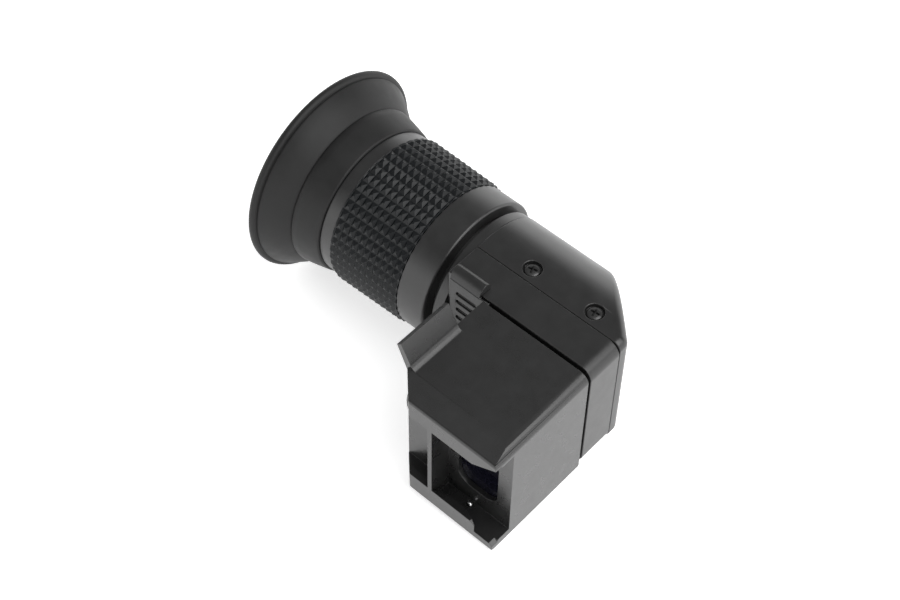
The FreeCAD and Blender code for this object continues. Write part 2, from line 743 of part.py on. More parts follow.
def magnification_lever():
    """Flat ring round the spigot with an inner finger, an arm and a thumb pad with a ridge."""
    face = "lever_front + running_gap"
    ring = turned_shoe("lever_ring", [
        ("swivel_radius + 0.1", face), ("lever_ring_radius", face),
        ("lever_ring_radius", "lever_back"), ("swivel_radius + 0.1", "lever_back")])
    finger = new_body("lever_finger")
    extrude(finger, "XZ_Plane", rectangle("-0.45", "0.45", "-swivel_radius - 0.6", "-3.65"),
            face, "lever_back - 0.03")
    finger.Placement.Rotation = FreeCAD.Rotation(FreeCAD.Vector(0, 1, 0), value("lever_swing") / -2)
    arm = new_body("lever_arm")
    extrude(arm, "XZ_Plane", [("-6.4", "0.4"), ("-17", "5.2"), ("-17", "11.6"), ("-3.6", "5.6")],
            face, "lever_back")
    pad = new_body("lever_pad")
    extrude(pad, "XZ_Plane",
            [("lever_left", "2.6"), ("ridge_right", "2.6"), ("ridge_right", "9.6"), ("lever_toe", "11.4"),
             ("lever_toe", "half_height - 0.2"), ("lever_left", "half_height - 0.2")],
            "lever_front", "lever_back")
    ridge = new_body("lever_ridge")
    low = "half_height - 0.3"
    clear = "half_height + 0.1"
    extrude(ridge, "YZ_Plane",
            [("lever_front", low), ("lever_back", low), ("lever_back", clear), ("ridge_back", clear),
             ("ridge_back", "half_height + 0.5", "1.5"), ("ridge_back - 1.3", "half_height + 1.8", "2.4")],
            "lever_left", "ridge_right")
    whole = fuse("lever_whole", ring, finger, arm, pad, ridge)
    slots = [grip_slot(index) for index in range(GRIP_SLOTS)]
    return cut("magnification_lever_cut", whole, *slots)


def grip_slot(index):
    """One thumb slot of the pad, with round ends."""
    half = "slot_width / 2"
    bend = f"{half} + 0.001"
    middle = f"slot_top - slot_pitch * {index}"
    body = new_body(f"grip_slot_{index}")
    extrude(body, "XZ_Plane",
            [("slot_left", f"{middle} - {half}"), ("slot_right", f"{middle} - {half}", bend),
             ("slot_right", f"{middle} + {half}"), ("slot_left", f"{middle} + {half}", bend)],
            "lever_front - 0.5", "lever_front + slot_depth")
    return body


def objective_carrier():
    """Sliding tube with a slanted slot for the lever's finger and a groove for the guide pin."""
    outside = "swivel_bore - running_gap"
    tube = turned_shoe("carrier_tube", [
        ("carrier_bore", "carrier_front"), (outside, "carrier_front"), (outside, "carrier_back"),
        ("carrier_bore", "carrier_back"), ("carrier_bore", "carrier_lens_front"),
        ("carrier_bore - 0.5", "carrier_lens_front"), ("carrier_bore - 0.5", "carrier_lens_front - 0.6"),
        ("carrier_bore", "carrier_lens_front - 0.6")])
    half_swing = math.radians(value("lever_swing") / 2)
    reach = 2 * value("swivel_bore - 0.3") * math.sin(half_swing)
    slant = math.degrees(math.atan2(value("carrier_travel"), reach))
    slot = doc.addObject("Part::Box", "cam_slot")
    slot.Length, slot.Width, slot.Height = CAM_SLOT
    middle = FreeCAD.Vector(0, value("(lever_front + lever_back - carrier_travel) / 2"),
                            -value("swivel_bore + 0.3"))
    turn = FreeCAD.Rotation(FreeCAD.Vector(0, 0, 1), slant)
    corner = turn.multVec(FreeCAD.Vector(CAM_SLOT[0] / 2, CAM_SLOT[1] / 2, 0))
    slot.Placement = FreeCAD.Placement(middle - corner, turn)
    groove = box("guide_groove", ("-guide_pin_radius - 0.1", "guide_pin_radius + 0.1"),
                 ("carrier_front - 0.3", "carrier_front + 3"), ("3", "5"))
    return cut("objective_carrier_cut", tube, slot, groove)


def magnification():
    node("swivel_spigot", swivel_spigot())
    node("magnification_lever", magnification_lever())
    node("objective_carrier", objective_carrier())
    node("carrier_lens", lens("carrier_lens", "y", SHOE_AXIS, "carrier_lens_front",
                              "carrier_lens_front + 1.4", "carrier_bore - running_gap", None, "14"))
    node("carrier_lock_ring", turned_shoe("carrier_lock_ring", [
        ("carrier_bore - 0.7", "carrier_front + 2.1"), ("carrier_bore", "carrier_front + 2.1"),
        ("carrier_bore", "carrier_lens_front - 0.7"), ("carrier_bore - 0.7", "carrier_lens_front - 0.7")]))
    node("carrier_guide_pin", rod("carrier_guide_pin_rod", "z", GUIDE_PIN, "carrier_bore + 0.15",
                                  "swivel_radius", "guide_pin_radius"))
    node("fixed_objective_lens", lens("fixed_objective_lens", "y", SHOE_AXIS, "fixed_lens_back - 1.9",
                                      "fixed_lens_back", "swivel_bore - running_gap", "20", None))
    node("objective_lock_ring", turned_shoe("objective_lock_ring", [
        ("swivel_bore - 0.6", "swivel_start + 0.1"), ("swivel_bore", "swivel_start + 0.1"),
        ("swivel_bore", "swivel_start + 1.2"), ("swivel_bore - 0.6", "swivel_start + 1.2")]))


# ---------------------------------------------------------------- shoe

def shoe_block():
    """Casing with rails, stop wall, window and hollow back."""
    body = new_body("shoe_block")
    extrude(body, "XY_Plane",
            [("shoe_left", "0"), ("shoe_left + end_taper", "shoe_front"), ("shoe_right", "shoe_front"),
             ("shoe_right", "shoe_back"), ("shoe_left", "shoe_back")],
            "-half_height", "half_height")
    right = value("shoe_right")
    half = value("half_height")
    round_edges(body, "shoe_round", lambda edge: along(edge, "y") and lies_at(edge, x=right, z=half))
    round_edges(body, "shoe_low_round", lambda edge: along(edge, "y") and lies_at(edge, x=right, z=-half))
    round_edges(body, "end_round", lambda edge: along(edge, "z")
                and lies_at(edge, x=value("shoe_left"), y=0))
    for side in ("", "-"):
        extrude(body, "YZ_Plane",
                [("0.1", f"{side}half_height"), ("shoe_front - 1", f"{side}(half_height - front_drop)"),
                 ("shoe_front - 1", f"{side}(half_height + 1)"), ("0.1", f"{side}(half_height + 1)")],
                "shoe_left - 1", "shoe_right + 1", cut=True)
    front = value("shoe_front")
    round_edges(body, "front_round", lambda edge: edge.BoundBox.YMax < front + 0.01
                and edge.BoundBox.XMax < value("shoe_right") - 0.1)
    lip_back = "shoe_front + lip_depth"
    rail = [("shoe_front - 1", "-lip_half"), (lip_back, "-lip_half"), (lip_back, "-groove_half"),
            ("0", "-groove_half"), ("0", "groove_half"), (lip_back, "groove_half"),
            (lip_back, "lip_half"), ("shoe_front - 1", "lip_half")]
    extrude(body, "YZ_Plane", rail, "shoe_left - 1", "stop_left", cut=True)
    extrude(body, "YZ_Plane", rail, "stop_right", "shoe_right + 1", cut=True)
    for side in ("", "-"):
        extrude(body, "XZ_Plane",
                [("lip_run", f"{side}(lip_half - 1)"), ("lip_run", f"{side}lip_half"),
                 ("shoe_right + 1", f"{side}(half_height - 1.4)"),
                 ("shoe_right + 1", f"{side}(lip_half - 1)")],
                "shoe_front - 1", lip_back, cut=True)
    extrude(body, "XY_Plane",
            [("stop_right", "shoe_front + 0.26", "-lip_bow"), ("lip_run + 1", "shoe_front + 0.14"),
             ("lip_run + 1", "shoe_front - 1"), ("shoe_right + 1", "shoe_front - 1"),
             ("shoe_right + 1", f"{lip_back} + 0.1"), ("stop_right", f"{lip_back} + 0.1")],
            "-groove_half", "0", cut=True)
    extrude(body, "XZ_Plane",
            rectangle("shoe_left + shoe_wall", "shoe_right - shoe_wall",
                      "shoe_wall - half_height", "half_height - shoe_wall"),
            "floor_depth", "shoe_back", cut=True)
    extrude(body, "XZ_Plane",
            rectangle("-window_half_width", "window_half_width", "-window_half_height",
                      "window_half_height"), "0", "floor_depth", cut=True)
    round_edges(body, "window_corner", lambda edge: along(edge, "y")
                and lies_at(edge, x_abs=value("window_half_width"), z_abs=value("window_half_height")))
    extrude(body, "XZ_Plane",
            rectangle("-window_half_width - 0.5", "window_half_width + 0.5", "-window_half_height - 0.8",
                      "window_half_height + 0.8"), "floor_depth - glass_seat", "floor_depth", cut=True)
    return body


def thumb_fin():
    """Slanting fin on the casing's upper left edge."""
    body = new_body("thumb_fin")
    extrude(body, "XZ_Plane",
            [("shoe_left", "half_height - fin_root"), ("shoe_left + 1.8", "half_height - fin_root"),
             ("shoe_left + 1.8", "half_height", "-1.8"), ("shoe_left + 0.45", "half_height + 1.3"),
             ("shoe_left - fin_lean + 1", "half_height + fin_height"),
             ("shoe_left - fin_lean", "half_height + fin_height - 0.7")],
            "fin_front", "fin_back")
    return body


def shoe_casing():
    plate_face = "shoe_back - back_plate"
    bosses = [rod(f"plate_boss_{index}", "y", place, "floor_depth - 0.1", plate_face, "boss_radius")
              for index, place in enumerate(PLATE_SCREWS)]
    shaft_boss = rod("shaft_boss", "x", KNOB_AXIS, "shoe_left + 0.1", "clip_front - 0.05",
                     "shaft_radius + 1.6")
    whole = fuse("shoe_whole", shoe_block(), thumb_fin(), shaft_boss, *bosses)
    threads = [rod(f"plate_thread_{index}", "y", place, f"{plate_face} - 5", "shoe_back",
                   "plate_screw_radius") for index, place in enumerate(PLATE_SCREWS)]
    shaft_bore = rod("shaft_bore", "x", KNOB_AXIS, "shoe_left - 1", "clip_front",
                     "shaft_radius + running_gap")
    pawl_bore = rod("pawl_bore", "y", PAWL_AXIS, "-1", "floor_depth + 1", "pawl_radius + running_gap")
    ball_bore = rod("ball_bore", "z", BALL_AXIS, "spring_seat", "-groove_half + 0.5",
                    "ball_radius + running_gap")
    return cut("shoe_casing_cut", whole, shaft_bore, pawl_bore, ball_bore, *threads)


def shoe_back_plate():
    plate_face = "shoe_back - back_plate"
    plate = box("back_plate_block", ("shoe_left + shoe_wall", "shoe_right - shoe_wall"),
                (plate_face, "shoe_back"), ("shoe_wall - half_height", "half_height - shoe_wall"))
    tools = [rod("back_plate_bore", "y", SHOE_AXIS, f"{plate_face} - 1", "shoe_back + 1",
                 "swivel_radius + running_gap")]
    for index, place in enumerate(PLATE_SCREWS):
        tools.append(rod(f"plate_clear_{index}", "y", place, f"{plate_face} - 1", "shoe_back + 1",
                         "plate_screw_radius"))
        tools.append(rod(f"plate_seat_{index}", "y", place, "shoe_back - plate_seat", "shoe_back + 1",
                         "inner_screw_head + 0.15"))
    return cut("shoe_back_plate_cut", plate, *tools)


def plate_screws():
    places = [(x, "shoe_back - plate_seat", z) for x, z in PLATE_SCREWS]
    return screws("back_plate_screws", places, [(0, -1, 0)] * len(places), "inner_screw_head",
                  "plate_seat - 0.05", "plate_screw_radius", "plate_screw_length")


def swivel_ring():
    """Threaded ring that keeps the shoe on the spigot, with four click notches."""
    body = turned_shoe("swivel_ring", [
        ("swivel_radius", "click_front"), ("click_radius", "click_front"),
        ("click_radius", "click_back"), ("swivel_radius", "click_back")])
    reach = "click_radius + 0.2"
    places = ((reach, "0"), (f"-({reach})", "0"), ("0", reach), ("0", f"-({reach})"))
    notches = [rod(f"notch_{index}", "y", place, "click_front - 0.4", "click_back + 0.1", "0.5")
               for index, place in enumerate(places)]
    return cut("swivel_ring_cut", body, *notches)


def click_leaf():
    """Leaf spring on the back plate; its bump drops into the swivel ring's notches."""
    leaf = box("leaf_strip", ("-swivel_bore - 0.2", "swivel_bore + 0.2"),
               ("click_front + 0.1", "shoe_back - back_plate"), ("click_radius + 0.7", "click_radius + 1.1"))
    bump = rod("leaf_bump", "y", ("0", "click_radius + 0.8"), "click_front + 0.2", "click_back - 0.1", "0.75")
    return fuse("click_leaf_whole", leaf, bump)


def window_frame():
    outer = box("frame_block", ("-window_half_width - 0.6", "window_half_width + 0.6"),
                ("floor_depth", "floor_depth + 1"), ("-window_half_height - 1.4", "window_half_height + 1.4"))
    opening = box("frame_opening", ("0.4 - window_half_width", "window_half_width - 0.4"),
                  ("floor_depth - 1", "floor_depth + 2"),
                  ("0.4 - window_half_height", "window_half_height - 0.4"))
    return cut("window_frame_cut", outer, opening)


def lock_knob():
    """Round knob with a shaft and an offset round cam at its inner end."""
    disc = new_body("knob_disc")
    disc.setExpression("Placement.Base.y", formula("knob_y"))
    near = "shoe_left - 0.3"
    far = "shoe_left - knob_height"
    sketch = sketch_on(disc, "XY_Plane", [
        (near, "0"), (near, "knob_radius"), (f"{far} + 0.7", "knob_radius"), (far, "knob_radius - 0.7"),
        (far, "0")])
    revolve(disc, sketch, "H_Axis")
    shaft = rod("knob_shaft", "x", KNOB_AXIS, "shoe_left - 1", "pawl_x - 0.9", "shaft_radius")
    cam = rod("knob_cam", "x", ("knob_y", "cam_offset"), "pawl_x - 1.1", "pawl_x + 0.75", "cam_radius")
    return fuse("lock_knob_whole", disc, shaft, cam)


def detent_spring():
    """Closed coils of the detent's small spring, drawn as a stack of rings."""
    rings = []
    for index in range(SPRING_COILS):
        ring = doc.addObject("Part::Torus", f"spring_coil_{index}")
        ring.setExpression("Radius1", formula("coil_radius"))
        ring.setExpression("Radius2", formula("wire_radius"))
        ring.setExpression("Placement.Base.x", formula("ball_x"))
        ring.setExpression("Placement.Base.y", formula("ball_y"))
        height = f"spring_seat + wire_radius + 0.02 + coil_pitch * {index}"
        ring.setExpression("Placement.Base.z", formula(height))
        rings.append(ring)
    return fuse("detent_spring_whole", *rings)


def shoe():
    node("shoe_casing", shoe_casing())
    node("shoe_back_plate", shoe_back_plate())
    plate_screws()
    node("swivel_ring", swivel_ring())
    washer_bore = "swivel_radius + running_gap"
    node("friction_washer", turned_shoe("friction_washer", [
        (washer_bore, "click_back + 0.03"), ("click_radius - 0.1", "click_back + 0.03"),
        ("click_radius - 0.1", "click_back + 0.2"), (washer_bore, "click_back + 0.2")]))
    node("click_leaf", click_leaf())
    node("window_glass", box("window_glass_block",
                             ("-window_half_width - 0.45", "window_half_width + 0.45"),
                             ("floor_depth - glass_seat", "floor_depth - 0.02"),
                             ("-window_half_height - 0.75", "window_half_height + 0.75")))
    node("window_frame", window_frame())
    node("lock_knob", lock_knob())
    node("knob_clip", knob_clip())
    node("lock_pawl", rod("lock_pawl_rod", "y", PAWL_AXIS, "0.2", "knob_y - cam_radius - 0.25",
                          "pawl_radius"))
    ball = doc.addObject("Part::Sphere", "detent_ball_sphere")
    ball.setExpression("Radius", formula("ball_radius"))
    ball.setExpression("Placement.Base.x", formula("ball_x"))
    ball.setExpression("Placement.Base.y", formula("ball_y"))
    ball.setExpression("Placement.Base.z", formula("-groove_half - ball_radius + ball_rise"))
    node("eyepiece_detent_ball", ball)
    node("detent_spring", detent_spring())


def knob_clip():
    """Spring clip on the knob's shaft, inside the casing."""
    disc = rod("clip_disc", "x", KNOB_AXIS, "clip_front", "clip_front + 0.55", "shaft_radius + 0.9")
    bore = rod("clip_bore", "x", KNOB_AXIS, "clip_front - 1", "clip_front + 2", "shaft_radius")
    mouth = box("clip_mouth", ("clip_front - 1", "clip_front + 2"), ("knob_y - 0.7", "knob_y + 0.7"),
                ("0", "4"))
    return cut("knob_clip_cut", disc, bore, mouth)


# ---------------------------------------------------------------- build and write

def housing():
    node("main_housing", main_housing())
    node("prism_cover", prism_cover())
    cover_screws()
    node("prism_bracket", prism_bracket())
    bracket_screws()
    node("roof_prism", roof_prism())
    node("prism_strap", prism_strap())


def check_and_write():
    """Stop on any failed feature, then write each sub-part's file."""
    doc.recompute()
    for item in doc.Objects:
        if "Invalid" in item.State or "Error" in item.State:
            raise RuntimeError(f"{item.Name} failed: {item.State}")
    os.makedirs("parts", exist_ok=True)
    for item in nodes:
        shape = item.Shape
        if shape.isNull() or not shape.isValid():
            raise RuntimeError(f"{item.Label}: bad shape")
        shape.exportStep(os.path.join("parts", item.Label + ".step"))
        print(f"{item.Label}: {len(shape.Solids)} solid, {shape.Volume:.1f} cubic mm")


housing()
eyepiece()
magnification()
shoe()
check_and_write()
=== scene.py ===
"""Right-angle viewfinder attachment, lying on a white table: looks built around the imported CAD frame.

Metres, except where a name or comment says millimetres; MM turns one into the other.
The window looks along -Y, the eyepiece points along -X, +Z is up.
"""
import json
import math

import bmesh
import bpy
from mathutils import Matrix, Vector


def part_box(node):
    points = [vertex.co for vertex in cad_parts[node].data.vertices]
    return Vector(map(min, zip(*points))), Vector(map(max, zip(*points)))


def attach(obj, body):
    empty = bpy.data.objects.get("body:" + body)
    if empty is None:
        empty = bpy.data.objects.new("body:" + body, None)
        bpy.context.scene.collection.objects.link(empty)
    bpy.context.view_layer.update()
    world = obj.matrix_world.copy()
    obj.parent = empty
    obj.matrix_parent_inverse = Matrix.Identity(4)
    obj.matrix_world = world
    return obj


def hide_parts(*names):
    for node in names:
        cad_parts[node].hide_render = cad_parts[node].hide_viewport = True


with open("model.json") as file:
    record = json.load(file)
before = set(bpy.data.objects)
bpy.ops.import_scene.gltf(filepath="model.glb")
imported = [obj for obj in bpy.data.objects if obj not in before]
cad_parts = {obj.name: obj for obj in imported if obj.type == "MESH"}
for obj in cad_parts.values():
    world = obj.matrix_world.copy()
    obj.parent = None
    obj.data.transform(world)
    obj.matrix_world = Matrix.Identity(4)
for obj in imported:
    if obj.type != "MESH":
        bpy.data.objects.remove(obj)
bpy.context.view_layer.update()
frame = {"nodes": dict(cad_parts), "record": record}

MM = 0.001
NODES = frame["nodes"]
SLOTS = {part["node"]: part["material_slot"] for part in frame["record"]["subparts"]}
BODY_OF = {node: body for body, nodes in frame["record"]["behaviour"]["bodies"].items() for node in nodes}


# ---------------------------------------------------------------- materials

def new_material(name):
    """A node material with its tree and shader."""
    material = bpy.data.materials.new(name)
    material.use_nodes = True
    tree = material.node_tree
    return material, tree, tree.nodes["Principled BSDF"]


def add(tree, kind, **settings):
    """Add a node and set its sockets, or its own settings where no socket has that name."""
    item = tree.nodes.new(kind)
    for key, setting in settings.items():
        if key in item.inputs:
            item.inputs[key].default_value = setting
        else:
            setattr(item, key, setting)
    return item


def noise(tree, scale, detail=2.0, stretch=None):
    """Noise in object space; scale is in features per metre, stretch squeezes it along an axis."""
    source = add(tree, "ShaderNodeTexCoord").outputs["Object"]
    if stretch:
        squeeze = add(tree, "ShaderNodeMapping", Scale=stretch)
        tree.links.new(source, squeeze.inputs["Vector"])
        source = squeeze.outputs["Vector"]
    item = add(tree, "ShaderNodeTexNoise", Scale=scale, Detail=detail)
    tree.links.new(source, item.inputs["Vector"])
    return item.outputs["Fac"]


def ramp(tree, source, stops):
    """Map a factor to colours at given places."""
    item = add(tree, "ShaderNodeValToRGB")
    tree.links.new(source, item.inputs["Fac"])
    elements = item.color_ramp.elements
    while len(elements) < len(stops):
        elements.new(0.5)
    for element, (place, tone) in zip(elements, stops):
        element.position = place
        element.color = (*tone, 1)
    return item.outputs["Color"]


def grey(level):
    """A neutral colour."""
    return (level, level, level)


def bumps(tree, shader, layers):
    """Stack bump maps on the shader's normal: (scale, distance in metres, strength, stretch)."""
    normal = None
    for scale, distance, strength, stretch in layers:
        item = add(tree, "ShaderNodeBump", Strength=strength, Distance=distance)
        tree.links.new(noise(tree, scale, 3.0, stretch), item.inputs["Height"])
        if normal is not None:
            tree.links.new(normal, item.inputs["Normal"])
        normal = item.outputs["Normal"]
    tree.links.new(normal, shader.inputs["Normal"])


def specks(tree, colour, scale, share, tone):
    """Lay small pale dust specks over a colour; share is the part of cells that hold one."""
    place = add(tree, "ShaderNodeTexCoord").outputs["Object"]
    cells = add(tree, "ShaderNodeTexVoronoi", Scale=scale)
    tree.links.new(place, cells.inputs["Vector"])
    dots = ramp(tree, cells.outputs["Distance"], [(0.06, grey(1)), (0.1, grey(0))])
    chosen = ramp(tree, cells.outputs["Color"], [(1 - share, grey(0)), (1 - share + 0.01, grey(1))])
    both = add(tree, "ShaderNodeMix", data_type="RGBA", blend_type="MULTIPLY")
    both.inputs[0].default_value = 1.0
    tree.links.new(dots, both.inputs[6])
    tree.links.new(chosen, both.inputs[7])
    mixed = add(tree, "ShaderNodeMix", data_type="RGBA")
    tree.links.new(both.outputs[2], mixed.inputs[0])
    tree.links.new(colour, mixed.inputs[6])
    mixed.inputs[7].default_value = (*tone, 1)
    return mixed.outputs[2]


DUST_SCALE = 520


def surface(name, tones, rough, layers, patch=400, dust=0.0, **sockets):
    """A surface whose colour and roughness vary in patches, with stacked bumps and a little dust."""
    material, tree, shader = new_material(name)
    patches = noise(tree, patch, 4.0)
    colour = ramp(tree, patches, [(0.3, tones[0]), (0.7, tones[1])])
    if dust:
        colour = specks(tree, colour, DUST_SCALE, dust, grey(0.4))
    tree.links.new(colour, shader.inputs["Base Color"])
    tree.links.new(ramp(tree, patches, [(0.3, grey(rough[0])), (0.7, grey(rough[1]))]),
                   shader.inputs["Roughness"])
    for key, setting in sockets.items():
        shader.inputs[key.replace("_", " ")].default_value = setting
    bumps(tree, shader, layers)
    return material


GRAIN = [(6500, 0.012 * MM, 0.3, None), (1500, 0.01 * MM, 0.05, None)]
TURNED = [(2600, 0.01 * MM, 0.2, (9, 1, 1)), (5000, 0.006 * MM, 0.15, None)]

MATERIALS = {
    "black_abs": surface("black_abs", (grey(0.011), grey(0.014)), (0.28, 0.34), GRAIN, dust=0.012,
                         Specular_IOR_Level=0.6),
    "shoe_abs": surface("shoe_abs", (grey(0.011), grey(0.014)), (0.26, 0.32), GRAIN, dust=0.015,
                        Specular_IOR_Level=0.65),
    "knob_plastic": surface("knob_plastic", (grey(0.01), grey(0.014)), (0.32, 0.4), GRAIN),
    "anodised_black": surface("anodised_black", (grey(0.01), grey(0.014)), (0.33, 0.39), TURNED, dust=0.01,
                              Specular_IOR_Level=0.6),
    "optical_black": surface("optical_black", (grey(0.006), grey(0.009)), (0.6, 0.75), GRAIN),
    "grip_rubber": surface("grip_rubber", ((0.003, 0.004, 0.005), (0.005, 0.006, 0.007)), (0.34, 0.42),
                           GRAIN, dust=0.02, Specular_IOR_Level=0.28),
    "eyecup_rubber": surface("eyecup_rubber", (grey(0.008), grey(0.011)), (0.48, 0.56),
                             [(4200, 0.02 * MM, 0.35, None), (700, 0.03 * MM, 0.12, None)], dust=0.05,
                             Specular_IOR_Level=0.3),
    "screw_steel": surface("screw_steel", (grey(0.01), grey(0.02)), (0.22, 0.3), GRAIN,
                           Specular_IOR_Level=0.6),
    "spring_steel": surface("spring_steel", (grey(0.55), grey(0.65)), (0.16, 0.24), GRAIN, Metallic=1.0),
    "brass": surface("brass", ((0.55, 0.40, 0.17), (0.65, 0.49, 0.22)), (0.25, 0.35), TURNED, Metallic=1.0),
    "optical_glass": surface("optical_glass", ((0.9, 0.93, 0.97), (0.93, 0.95, 0.98)), (0.01, 0.03),
                             [(300, 0.0005 * MM, 0.05, None)], Transmission_Weight=1.0, IOR=1.52,
                             Coat_Weight=0.3, Coat_Tint=(0.5, 0.45, 0.9, 1)),
    # nearly black glass that passes a tenth of the light: painted shade, darker than clear glass, for the
    # dark recess behind the window
    "window": surface("window", ((0.003, 0.003, 0.006), (0.005, 0.005, 0.009)), (0.03, 0.06),
                      [(300, 0.0005 * MM, 0.05, None)], Transmission_Weight=0.1, IOR=1.4),
}


# ---------------------------------------------------------------- CAD nodes

SHARP_TURN = 28


def soften(item, width):
    """Round edges that turn sharply, by modifiers; width is in millimetres and flats stay flat in shading."""
    bevel = item.modifiers.new("bevel", "BEVEL")
    bevel.width = width * MM
    bevel.segments = 3
    bevel.limit_method = "ANGLE"
    bevel.angle_limit = math.radians(SHARP_TURN)
    bevel.use_clamp_overlap = False
    item.modifiers.new("normals", "WEIGHTED_NORMAL").keep_sharp = True


def dissolve(item):
    """Join the triangles of each flat face by modifiers, so that only real edges are rounded."""
    item.modifiers.new("weld", "WELD").merge_threshold = 0.002 * MM
    flat = item.modifiers.new("flat", "DECIMATE")
    flat.decimate_type = "DISSOLVE"
    flat.angle_limit = math.radians(0.5)


def dress(name):
    """Give a CAD node its slot's material and softened edges; its own vertices stay as they are."""
    node = NODES[name]
    mesh = node.data
    mesh.materials.clear()
    mesh.materials.append(MATERIALS[SLOTS[name]])
    if "custom_normal" in mesh.attributes:
        mesh.attributes.remove(mesh.attributes["custom_normal"])
    mesh.polygons.foreach_set("use_smooth", [True] * len(mesh.polygons))
    dissolve(node)
    soften(node, 0.05)


# ---------------------------------------------------------------- own pieces

AXIS_Y = (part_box("eyecup")[0].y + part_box("eyecup")[1].y) / 2
TURNS = 192
SCREW_TURNS = 64
KNOB_TURNS = 240
RIB_STEPS = 6
RIB_DEPTH = 0.16


def piece(name, mesh, node):
    """Show a mesh in a CAD node's place: it rides with the node's body and keeps its material slot."""
    item = bpy.data.objects.new(name, mesh)
    bpy.context.scene.collection.objects.link(item)
    mesh.materials.append(MATERIALS[SLOTS[node]])
    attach(item, BODY_OF[node])
    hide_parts(node)
    return item


def finished_mesh(name, bm, sharp=35):
    """Turn a bmesh into a smooth mesh whose steep edges stay sharp."""
    bmesh.ops.recalc_face_normals(bm, faces=bm.faces)
    mesh = bpy.data.meshes.new(name)
    bm.to_mesh(mesh)
    bm.free()
    mesh.polygons.foreach_set("use_smooth", [True] * len(mesh.polygons))
    mesh.set_sharp_from_angle(angle=math.radians(sharp))
    return mesh


# for each moulded piece: how far its sharp edges are rounded, in millimetres
EDGE_ROUNDS = {
    "main_housing": 0.16, "prism_cover": 0.16, "shoe_casing": 0.06, "shoe_back_plate": 0.1,
    "magnification_lever": 0.14, "eyecup_retainer": 0.2, "dioptre_ring": 0.16, "eyepiece_neck": 0.16,
}


def refined(name, width):
    """A CAD node's copy with its sharp edges rounded further than on the plain nodes."""
    mesh = NODES[name].data.copy()
    mesh.name = name + "_moulded"
    mesh.materials.clear()
    item = piece(name + "_moulded", mesh, name)
    dissolve(item)
    soften(item, width)


def on_tube(station, radius, turn):
    """A point round the eyepiece axis; the station is how far out it lies, in millimetres."""
    return Vector((-station * MM, AXIS_Y + radius * MM * math.cos(turn), radius * MM * math.sin(turn)))


def lathe(name, outline, sharp=35):
    """Turn a closed outline of (station, radius), in millimetres, about the eyepiece axis."""
    bm = bmesh.new()
    rings = []
    for step in range(TURNS):
        turn = 2 * math.pi * step / TURNS
        rings.append([bm.verts.new(on_tube(station, radius, turn)) for station, radius in outline])
    count = len(outline)
    for step in range(TURNS):
        here, there = rings[step], rings[(step + 1) % TURNS]
        for index in range(count):
            after = (index + 1) % count
            bm.faces.new((here[index], here[after], there[after], there[index]))
    return finished_mesh(name, bm, sharp)


def arc(centre, radius, start, end, steps):
    """Points on an arc of an outline, angles in degrees from the station axis."""
    points = []
    for step in range(steps + 1):
        angle = math.radians(start + (end - start) * step / steps)
        points.append((centre[0] + radius * math.cos(angle), centre[1] + radius * math.sin(angle)))
    return points


def eyecup():
    """Soft cup: a band, a groove, a flare and a rolled lip round its rim."""
    low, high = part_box("eyecup")
    front, rim = -high.x / MM, -low.x / MM
    radius = (high.z - low.z) / 2 / MM
    band = radius - 4.5
    crease = front + 6.1
    lip = 0.85
    outline = [(front, 13.3), (front, band - 1.7)]
    outline += arc((front + 0.5, band - 1.7), 0.5, 180, 100, 5)
    outline += [(front + 2.4, band - 0.72), (front + 4.4, band - 0.28), (crease - 0.35, band - 0.06)]
    outline += [(crease - 0.18, band - 0.12), (crease - 0.04, band - 0.34), (crease + 0.12, band - 0.12)]
    outline += [(crease + 0.35, band + 0.15), (crease + 2.4, band + 1.72),
                (rim - 2 * lip - 0.35, radius - 1.02), (rim - 2 * lip - 0.15, radius - 0.98),
                (rim - 2 * lip - 0.02, radius - 1.0),
                (rim - 2 * lip + 0.02, radius - 0.8)]
    outline += arc((rim - lip, radius - lip), lip, 165, -55, 14)
    outline += [(rim - lip - 0.1, radius - 2.1), (rim - 2.2, radius - 2.6), (crease + 1.0, band - 0.9),
                (crease - 1.0, band - 2.2), (front + 3.6, 14.25), (front + 3.6, 13.3)]
    return piece("eyecup_rubber", lathe("eyecup_rubber", outline, 50), "eyecup")


# the grip's pyramids: how many round it and along it, their pitch and depth in millimetres, and
# the half width of their flat tops as a share of the pitch
KNURL_COLUMNS = 47
KNURL_ROWS = 11
KNURL_PITCH = 1.43
KNURL_DEPTH = 0.5
KNURL_TOP = 0.1


